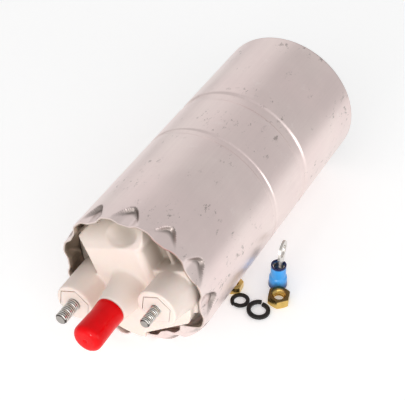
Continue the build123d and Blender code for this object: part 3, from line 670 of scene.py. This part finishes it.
def crimpTree():
    # Presses the same dent into the sheet at every step round the rim, and rolls the lower lip in.
    # A dent runs out early at its sides, ends in a steep wall, and deepens towards the rim
    sideRunOut, wallSlope, shadeFrom, shadeSlope, rimLean = 0.0042, 7.0, 0.62, 5.0, 0.1
    swell, level, besideSlope = 0.55, 0.5, 3.5
    t = Tree("crimp", Count=12, Depth=0.0018, Length=0.008, Turn=0.1, Rim=0.0, Roll=0.002,
             RollTurn=-1.0, RollReach=0.8, RollLength=0.006)
    place = t.node("GeometryNodeInputPosition")
    x, y, z = (t.node("ShaderNodeSeparateXYZ", out=axis, Vector=place) for axis in range(3))
    turn = z.maths("ARCTAN2", x)
    wave = ((turn - t.size("Turn")) * t.size("Count")).maths("COSINE")
    across = (wave * swell + level).clamped()
    across = across * across * (3 - across * 2)
    edge = t.size("Length") - (1 - wave) * sideRunOut
    along = (y - t.size("Rim")) / edge
    steep = ((1 - along) * wallSlope).clamped()
    steep = steep * steep * (3 - steep * 2)
    wall = ((along - shadeFrom) * shadeSlope).clamped() * along.maths("LESS_THAN", 1.0) * across
    lean = 1.0 + (1 - along).clamped() * rimLean
    depth = t.size("Depth") * across * steep * lean
    aside = (turn - t.size("RollTurn")).maths("ABSOLUTE")
    beside = ((t.size("RollReach") - aside) * besideSlope).clamped()
    curl = (1 - (y - t.size("Rim")) / t.size("RollLength")).clamped()
    depth = depth + t.size("Roll") * curl * curl * beside * beside * (3 - beside * 2)
    radius = (x * x + z * z).maths("SQRT")
    facing = t.node("GeometryNodeInputNormal")
    normal = [t.node("ShaderNodeSeparateXYZ", out=axis, Vector=facing) for axis in (0, 2)]
    inside = (normal[0] * x + normal[1] * z).maths("LESS_THAN", 0.0)
    share = depth / radius * -1
    offset = t.node("ShaderNodeCombineXYZ", X=x * share, Y=0.0, Z=z * share)
    kept = Wire(t.group, t.enter.outputs[0])
    # The crease mask carries painted shade for the dents' steep walls; the inside mask carries
    # painted shade inside the can
    for title, value in (("inside", inside), ("crease", wall * (1 - inside))):
        kept = t.node("GeometryNodeStoreNamedAttribute", Geometry=kept, Name=title, Value=value)
    moved = t.node("GeometryNodeSetPosition", Geometry=kept, Offset=offset)
    t.finish(moved, "casing_steel")
    return t


# Terminal head: one soft moulding, with crisp recesses for the studs

head = {
    "tilt": 23.7, "neck": 26.4, "face": 24.9, "lobeFace": 2.5, "pocket": 8.7, "lift": 1.5,
    "bridge": [(-19.0, 27.0), (-18.5, 22.5), (-13.2, 16.8), (-13.0, -1.0), (11.7, -1.0),
               (11.7, 15.0), (13.5, 17.5), (13.5, 27.0)],
    "bridgeRound": 2.4, "slopeStart": 17.0, "slopeEnd": 6.0,
    "chord": [(-4.3, -22.2), (22.9, -15.0), (29.0, -14.0)],
    "rib": (17.4, 1.4), "ribFace": 5.0,      # place and width across
    "pad": (1.0, -13.0, 6.0),                # face, and from and to upwards
    "scoop": (6.5, 4.0, 23.9, 2.0),          # ball's radius, across, up, depth
    "studs": 19.1, "turret": 7.9, "turretFace": 12.5, "turretLean": 0.2, "turretRound": 0.7,
    "recess": (1.1, 0.04), "seat": (0.5, -0.1, -0.28),      # the groove round each stud's seat
    "plates": ((-1, 12.0, 2.52), (1, 11.0, 2.02)),          # side, flats, stud's hole
    "skirt": (17.5, -4.3, 9.3), "taper": (19.8, -1.2, 5.8), "flankBack": 1.2,
    "boss": (5.7, 7.8, 14.7, 10.4),          # radius at its tip and root, face, flare
    "bossRound": (0.4, 2.6),
    "shoulder": 28.6, "joint": 9.1, "back": 21.8,
    "sealGroove": (26.3, 14.1, 16.7), "bore": 4.6, "boreFoot": 6.0, "seatBore": (7.02, 6.0),
    "overlap": 0.6, "voxel": 0.3, "rounds": 14,
}


def turnedToHead(obj):
    obj.data.transform(Matrix.Rotation(radians(-head["tilt"]), 4, "Y"))
    return obj


def block(left, right, low, high, start, end):
    corners = [(x, y, z) for x in (left, right) for y in (start, end) for z in (low, high)]
    faces = [(0, 1, 3, 2), (4, 6, 7, 5), (0, 4, 5, 1), (2, 3, 7, 6), (0, 2, 6, 4), (1, 5, 7, 3)]
    return meshObject("block", corners, faces, False)


def rod(radius, start, end, x=0.0):
    outline = [(0, start, 0), (radius, start, 0), (radius, end, 0), (0, end, 0)]
    return lathe("rod", outline, 128, (x, 0))


def drawnFaces(count):
    # Two ends and the sides between them, for two equal outlines of count points
    faces = [tuple(range(count)), tuple(range(2 * count - 1, count - 1, -1))]
    for spot in range(count):
        after = (spot + 1) % count
        faces.append((spot, after, after + count, spot + count))
    return faces


def slab(outline, start, end):
    # An outline of (across, up) drawn out along Y
    count = len(outline)
    points = [(x, along, up) for along in (start, end) for x, up in outline]
    return meshObject("slab", points, drawnFaces(count), False)


def prism(profile, left, right):
    # A profile of (up, along) drawn out across
    count = len(profile)
    points = [(x, along, up) for x in (left, right) for up, along in profile]
    return meshObject("prism", points, drawnFaces(count), False)


def cone(tip, foot, steps=96):
    # Between two rounds of (across, up, radius, along)
    points = []
    for x, up, radius, along in (tip, foot):
        for step in range(steps):
            turn = 2 * pi * step / steps
            points.append((x + radius * cos(turn), along, up + radius * sin(turn)))
    return meshObject("cone", points, drawnFaces(steps), False)


def sphere(radius, centre):
    x0, y0, z0 = centre
    rings = 48
    turns = [pi * ring / rings for ring in range(rings + 1)]
    outline = [(max(radius * sin(turn), 0.0), -radius * cos(turn)) for turn in turns]
    points, faces = lathePoints(outline, 96, (x0, z0), False)
    return meshObject("sphere", [(x, y + y0, z) for x, y, z in points], faces)


def cut(obj, tool, operation="DIFFERENCE"):
    modifier = obj.modifiers.new("cut", "BOOLEAN")
    modifier.operation = operation
    modifier.object = tool
    modifier.solver = "EXACT"
    baked(obj)
    bpy.data.objects.remove(tool)
    return obj


def hexRod(flats, start, end, x, z=0.0):
    reach = flats / sqrt(3)
    points = [(x + reach * cos(radians(60 * side)), along, z + reach * sin(radians(60 * side)))
              for along in (start, end) for side in range(6)]
    return meshObject("hexRod", points, drawnFaces(6), False)


def insideNeck(obj, start):
    # Cut back to the round of the head's neck, from a place along the axis to its joint
    return cut(obj, rod(head["neck"], start - 1, head["joint"] + head["overlap"] + 1), "INTERSECT")


def makeNeck():
    h = head
    back, reach = h["joint"] + h["overlap"], h["neck"]
    padFace, padLow, padHigh = h["pad"]
    neck = rod(reach, h["pocket"], back)
    rib = insideNeck(block(h["rib"][0], sum(h["rib"]), 0, reach, h["ribFace"], back), h["ribFace"])
    pad = insideNeck(block(0, reach + 2, padLow, padHigh, padFace, back), padFace)
    return [neck, rib, pad]


def makeLower():
    # The round face below the bridge, cut off along a bent chord
    h = head
    front, back, reach = -h["lift"], h["joint"] + h["overlap"], h["neck"]
    beyond = reach + 3
    lower = block(-reach, reach, -reach, 0.2, front, back)
    lower = cut(lower, rod(h["face"], front - 1, back + 1), "INTERSECT")
    below = h["chord"] + [(beyond, -beyond), (h["chord"][0][0], -beyond)]
    return cut(lower, slab(below, front - 1, h["pocket"]))


def makeBridge():
    h = head
    front, back, reach = -h["lift"], h["joint"] + h["overlap"], h["neck"]
    bridge = slab(h["bridge"], front, back)
    sides = bridge.modifiers.new("sides", "BEVEL")
    sides.limit_method = "WEIGHT"
    sides.width = h["bridgeRound"] * mm
    sides.segments = 8
    weights = bridge.data.attributes.new("bevel_weight_edge", "FLOAT", "EDGE")
    rightSide, frontFace = 11.2 * mm, (rimAt + front + 0.1) * mm
    for edge in bridge.data.edges:
        ends = [bridge.data.vertices[spot].co for spot in edge.vertices]
        if all(end.x > rightSide and end.y < frontFace for end in ends):
            weights.data[edge.index].value = 1.0
    baked(bridge)
    tall, slopeEnd, beyond = h["slopeStart"], h["slopeEnd"], reach + 3
    slope = [(tall, front - 1), (tall, front), (reach, slopeEnd), (beyond, slopeEnd),
             (beyond, front - 1)]
    bridge = insideNeck(cut(bridge, prism(slope, -reach, reach)), front)
    ball, across, up, deep = h["scoop"]
    hollow = sphere(ball, (0, h["lobeFace"] + deep - ball, up))
    stretch = Matrix.Scale(1.6, 4, (1, 0, 0))
    hollow.data.transform(Matrix.Translation((across * mm, 0, 0)) @ stretch)
    return cut(bridge, hollow)


def makeTurrets():
    # The outlet's boss, the left turret, and the right one with its flank down into the face
    h = head
    back, lift, face = h["joint"] + h["overlap"], -h["lift"] - 0.1, -h["turretFace"]
    (tip, root, bossFace, flare), (tipRound, rootRound) = h["boss"], h["bossRound"]
    boss = lathe("boss", [(0, -bossFace, 0), (tip, -bossFace, tipRound), (root, lift, rootRound),
                          (flare, lift, 0), (flare, back, 0), (0, back, 0)], 128)
    side, down, wide = h["skirt"]
    flank = cone((h["studs"], 0.0, h["turret"] - 0.3, face + h["flankBack"]),
                 (side, down, wide, back))
    flank = insideNeck(flank, face + 1)
    left = lathe("turret", [(0, face, 0), (h["turret"] - h["turretLean"], face, h["turretRound"]),
                            (h["turret"], back, 0), (0, back, 0)], 128, (-h["studs"], 0))
    right = cone((h["studs"], 0.0, h["turret"] - 0.1, face), h["taper"] + (back,))
    return [boss, flank, left, right]


def melted(parts):
    # One soft skin over the parts
    front = joined("headFront", parts)
    remesh = front.modifiers.new("melt", "REMESH")
    remesh.mode = "VOXEL"
    remesh.voxel_size = head["voxel"] * mm
    soft = front.modifiers.new("soft", "SMOOTH")
    soft.iterations = head["rounds"]
    soft.factor = 0.5
    return baked(front)


def cutSeats(front):
    h = head
    face = -h["turretFace"]
    groove, seat = h["recess"]
    less, aside, below = h["seat"]
    for side, flats, hole in h["plates"]:
        x = side * h["studs"]
        cut(front, hexRod(flats, face - 1, groove + face, x))
        island = hexRod(flats - less, seat + face, groove + face + 0.5, x + aside, below)
        cut(front, island, "UNION")
        cut(front, rod(hole, face - 1, h["joint"] + 2, x))
    bossFace = h["boss"][2]
    cut(front, rod(h["bore"], -bossFace - 1, h["boreFoot"]))


def makeHead():
    h = head
    front = melted(makeNeck() + [makeLower(), makeBridge()] + makeTurrets())
    cutSeats(front)
    wide, joint, back = h["shoulder"], h["joint"], h["back"]
    grooveFoot, grooveFrom, grooveTo = h["sealGroove"]
    seat, deep = h["seatBore"]
    rear = lathe("rear", [(h["bore"], joint, 0), (wide, joint, 0.3), (wide, grooveFrom, 0),
                          (grooveFoot, grooveFrom, 0), (grooveFoot, grooveTo, 0),
                          (wide, grooveTo, 0), (wide, back, 0.3), (seat, back, 0),
                          (seat, back - deep, 0), (h["bore"], back - deep, 0)], 160)
    whole = turnedToHead(joined("terminalHead", [front, rear]))
    finishPiece(sharpen(whole, 50), "terminal_head", "pump")
    print("head moulded,", len(whole.data.polygons), "faces")


# Terminal studs with rolled threads on hexagonal feet

studs = {
    "stud_m5": {"x": -19.1, "radius": 2.5, "pitch": 0.8, "tip": -21.6, "flats": 11.7},
    "stud_m4": {"x": 19.1, "radius": 2.0, "pitch": 0.7, "tip": -20.6, "flats": 10.7},
}
stud = {
    "foot": -8.9, "tail": 12.0, "plate": 1.45, "threadDepth": 0.5, "tipFrom": 0.86,
    "sunk": 1.02,                   # how deep the core lies below the crests, in thread depths
    "bevel": (0.25, 0.35, 0.15),    # at the tip: across, along and rounding
    "runOut": (1.0, 1.2),           # from the foot to the thin end and the full end
    "ridge": (0.45, 0.9),           # its start from the tip, and what it leaves of the length
    "rootMargin": 0.05,
}


def threadFinish(name, x, z, root, crest):
    # Plated steel with painted highlight on the crests and painted shade in the roots, by the
    # distance from the stud's axis
    f = Finish(name, Metallic=1.0)
    across, up = f.along(0) - x, f.along(2) - z
    away = (across * across + up * up).maths("SQRT")
    core = root * stud["tipFrom"]
    low = ((crest - away) / (crest - root)).clamped() * away.maths("GREATER_THAN", core)
    low = low * (low * 0.45 + 0.55)
    cloud = f.noise(700, 4, 0.6)
    # Painted shade on the tip and on the core below the thread
    low = low + away.maths("LESS_THAN", core) * 0.6
    litCrest = f.blend(cloud, rgb(0.80, 0.75, 0.69), rgb(1.0, 0.97, 0.92))
    f.set(Base_Color=f.blend(low * 0.92, litCrest, rgb(0.025, 0.018, 0.014)))
    f.set(Roughness=0.2 + cloud * 0.15 + low * 0.3)
    return f.material


def threadTree():
    # A helical ridge of triangular section along +Z, from its root radius outwards
    t = Tree("thread", Radius=0.0025, Pitch=0.0008, Length=0.012, Depth=0.0004)
    turns = t.size("Length") / t.size("Pitch")
    helix = t.node("GeometryNodeCurveSpiral", Resolution=40, Rotations=turns,
                   Start_Radius=t.size("Radius"), End_Radius=t.size("Radius"),
                   Height=t.size("Length"))
    section = t.node("GeometryNodeCurvePrimitiveCircle", Resolution=4, Radius=t.size("Depth"))
    ridge = t.node("GeometryNodeCurveToMesh", Curve=helix, Profile_Curve=section, Fill_Caps=True)
    t.finish(ridge, "plated_steel")
    return t


def makeThread(name, radius, pitch, length, depth):
    holder = bpy.data.objects.new(name, bpy.data.meshes.new(name))
    scene.collection.objects.link(holder)
    return threadTree().run(holder, Radius=radius * mm, Pitch=pitch * mm, Length=length * mm,
                            Depth=depth * mm)


def makeStud(node):
    s = studs[node]
    x, radius, pitch, tip = s["x"], s["radius"], s["pitch"], s["tip"]
    foot, tail, depth = stud["foot"], stud["tail"], pitch * stud["threadDepth"]
    root = radius - depth * stud["sunk"]
    across, along, rounding = stud["bevel"]
    (thin, full), (start, less) = stud["runOut"], stud["ridge"]
    core = lathe("core", [(0, tip, 0), (root - across, tip, rounding), (root, tip + along, 0),
                          (root, foot + thin, 0), (radius, foot + full, 0), (radius, tail, 0),
                          (0, tail, 0)], 48, (x, 0))
    plate = hexRod(s["flats"], foot, foot + stud["plate"], x)
    ridge = makeThread("ridge", root, pitch, foot - tip - less, depth)
    print(node, "thread has", len(ridge.data.vertices), "points")
    ridge.data.transform(Matrix.Rotation(radians(-90), 4, "X"))
    ridge.data.transform(Matrix.Translation((x * mm, (tip + start + rimAt) * mm, 0)))
    whole = turnedToHead(joined(node + "_threaded", [core, plate, ridge]))
    finishPiece(sharpen(whole, 30), node, "pump")
    turn = radians(head["tilt"])
    steel = threadFinish(node + "Steel", x * cos(turn) * mm, x * sin(turn) * mm,
                         (root + stud["rootMargin"]) * mm, radius * mm)
    whole.data.materials[0] = steel


# Slip-on cap, slightly soft in its round and dimpled at its end

cap = {
    "mouth": -14.85, "end": -31.2, "radius": 5.8, "bore": 4.75, "floor": -30.5,
    "swell": (0.1, -0.3, -0.05),    # what the radius gains at the end, the waist and the mouth
    "waistFrom": 5.0, "waistRound": 6.0, "endRound": 4.0, "mouthRound": (0.35, 0.2),
    "dimple": (0.5, 1.0), "dimpleDepth": (0.35, 0.3), "dimpleRound": (0.4, 0.3),
    "floorRound": 1.3,
    "oval": 0.012, "lobes": 0.006,  # how far out of round, as shares of the radius
}


def makeCap():
    c = cap
    end, mouth, bore, floor = c["end"], c["mouth"], c["bore"], c["floor"]
    atEnd, atWaist, atMouth = (c["radius"] + gain for gain in c["swell"])
    (low, rim), (middle, side), (lowRound, rimRound) = (c[key] for key in ("dimple", "dimpleDepth",
                                                                          "dimpleRound"))
    outerRound, innerRound = c["mouthRound"]
    obj = lathe("slipOnCap", [(0, end + middle, 0), (low, end + side, lowRound),
                              (rim, end, rimRound), (atEnd, end, c["endRound"]),
                              (atWaist, mouth - c["waistFrom"], c["waistRound"]),
                              (atMouth, mouth, outerRound), (bore, mouth, innerRound),
                              (bore, floor, c["floorRound"]), (0, floor, 0)], 128)
    # Slightly out of round, and differently so along its length
    for vertex in obj.data.vertices:
        x, y, z = vertex.co
        turn = atan2(z, x)
        flat, bulge = cos(2 * turn + 0.7), sin(3 * turn + y / mm * 0.5)
        soft = 1 - c["oval"] * (1 + flat) - c["lobes"] * (1 + bulge)
        vertex.co = (x * soft, y, z * soft)
    finishPiece(sharpen(obj, 50), "outlet_cap", "cap")


# Loose hardware on the floor

def floorPlace(node):
    low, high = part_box(node)
    return (low.x + high.x) / 2 / mm, (low.y + high.y) / 2 / mm - rimAt, low.z / mm


nuts = {
    "nut_m5": {"body": "loose_nut_m5", "flats": 8.0, "height": 4.0, "bore": 2.1, "pitch": 0.8,
               "turn": 17.0, "sink": 0.85},
    "nut_m4": {"body": "loose_nut_m4", "flats": 7.0, "height": 3.2, "bore": 1.65, "pitch": 0.7,
               "turn": 5.0, "sink": 0.6},
}
nut = {
    "steps": 96, "flatRound": 0.97, "bevelFrom": 1.02, "bevelDrop": 0.58, "edge": 0.02,
    "threadDepth": 0.42, "threadIn": 0.12,
}


def nutColumn(n, turn):
    # The nut's section at one turn round its axis: bevelled corners, sunk bore
    half, height, bore, sink = n["flats"] / 2, n["height"], n["bore"], n["sink"]
    apart = (degrees(turn) + 30) % 60 - 30
    corner = half / cos(radians(apart))
    drop = max(0.0, corner - half * nut["bevelFrom"]) * nut["bevelDrop"] + nut["edge"]
    flat = half * nut["flatRound"]
    return [(bore + sink, 0), (flat, 0), (corner, drop), (corner, height - drop),
            (flat, height), (bore + sink, height), (bore, height - sink), (bore, sink)]


def makeNut(node):
    n = nuts[node]
    x0, y0, z0 = floorPlace(node)
    steps, points, faces = nut["steps"], [], []
    for step in range(steps):
        turn = radians(360 * step / steps)
        column = nutColumn(n, turn)
        points += [(radius * cos(turn), radius * sin(turn), z) for radius, z in column]
    rows = len(column)
    for step in range(steps):
        after = (step + 1) % steps
        for row in range(rows):
            above = (row + 1) % rows
            faces.append((step * rows + row, after * rows + row,
                          after * rows + above, step * rows + above))
    blank = meshObject("blank", points, faces)
    blank.data.transform(Matrix.Translation((0, -rimAt * mm, 0)))
    ridge = makeThread("ridge", n["bore"] + nut["threadIn"], n["pitch"],
                       n["height"] - 2 * n["sink"], n["pitch"] * nut["threadDepth"])
    ridge.data.transform(Matrix.Translation((0, 0, n["sink"] * mm)))
    whole = joined(node + "_threaded", [blank, ridge])
    whole.data.transform(Matrix.Translation((x0 * mm, (y0 + rimAt) * mm, z0 * mm)) @
                         Matrix.Rotation(radians(n["turn"]), 4, "Z"))
    finishPiece(sharpen(whole, 25), node, n["body"])


washers = {
    "lock_washer_m5": {"body": "loose_washer_m5", "inner": 2.95, "outer": 4.6, "height": 1.1,
                       "gap": 96.0, "rise": 1.0},
    "lock_washer_m4": {"body": "loose_washer_m4", "inner": 2.3, "outer": 3.8, "height": 0.85,
                       "gap": 250.0, "rise": 0.7},
}
washer = {"steps": 90, "slit": 0.28, "edge": 0.14, "lean": 0.2}


def makeWasher(node):
    # One turn of a rounded section, rising along its way, with a slanted cut between its ends
    w = washers[node]
    inner, outer, height = w["inner"], w["outer"], w["height"]
    x0, y0, z0 = floorPlace(node)
    steps, edge, points, faces = washer["steps"], washer["edge"], [], []
    slit = degrees(washer["slit"] / outer)
    section = smoothed([(inner, 0, edge), (outer, 0, edge), (outer, height, edge),
                        (inner, height, edge)], 3)
    rows = len(section)
    for step in range(steps + 1):
        share = step / steps
        for spot in section:
            lean = degrees((spot.y / height - 0.5) * washer["lean"] / outer)
            turn = radians(w["gap"] + slit + lean + share * (360 - 2 * slit))
            points.append((x0 + spot.x * cos(turn), y0 + spot.x * sin(turn),
                           z0 + spot.y + w["rise"] * (1 - share)))
    for step in range(steps):
        for row in range(rows):
            a, b = step * rows + row, step * rows + (row + 1) % rows
            faces.append((a, b, b + rows, a + rows))
    faces += [tuple(range(rows)), tuple(range((steps + 1) * rows - 1, steps * rows - 1, -1))]
    finishPiece(sharpen(meshObject(node + "_split", points, faces), 40), node, w["body"])


# Springs, copied from their part meshes with sharp edges

springs = {    # moving body, held end and moving end, each as (x, y, z) in millimetres in the frame
    "check_valve_spring": ("check_valve", (0, -110.05, 0), (0, -100.6, 0)),
    "relief_spring": ("relief_valve", (-20, 18.15, 0), (-20, 6.65, 0)),
    "brush_spring_left": ("brush_l", (-23.844, -74.5, -10.467), (-17.842, -74.5, -7.832)),
    "brush_spring_right": ("brush_r", (23.844, -74.5, 10.467), (17.842, -74.5, 7.832)),
}


def makeSpring(node):
    mesh = bpy.data.objects[node].data.copy()
    mend(mesh, False)
    obj = bpy.data.objects.new(node + "_wound", mesh)
    scene.collection.objects.link(obj)
    sharpen(obj, 40)
    dress(obj, slotOf[node])
    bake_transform(obj)
    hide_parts(node)


makeCasing()
makeHead()
for node in springs:
    makeSpring(node)
for node in studs:
    makeStud(node)
makeCap()
for node in nuts:
    makeNut(node)
for node in washers:
    makeWasher(node)
print("pieces made")
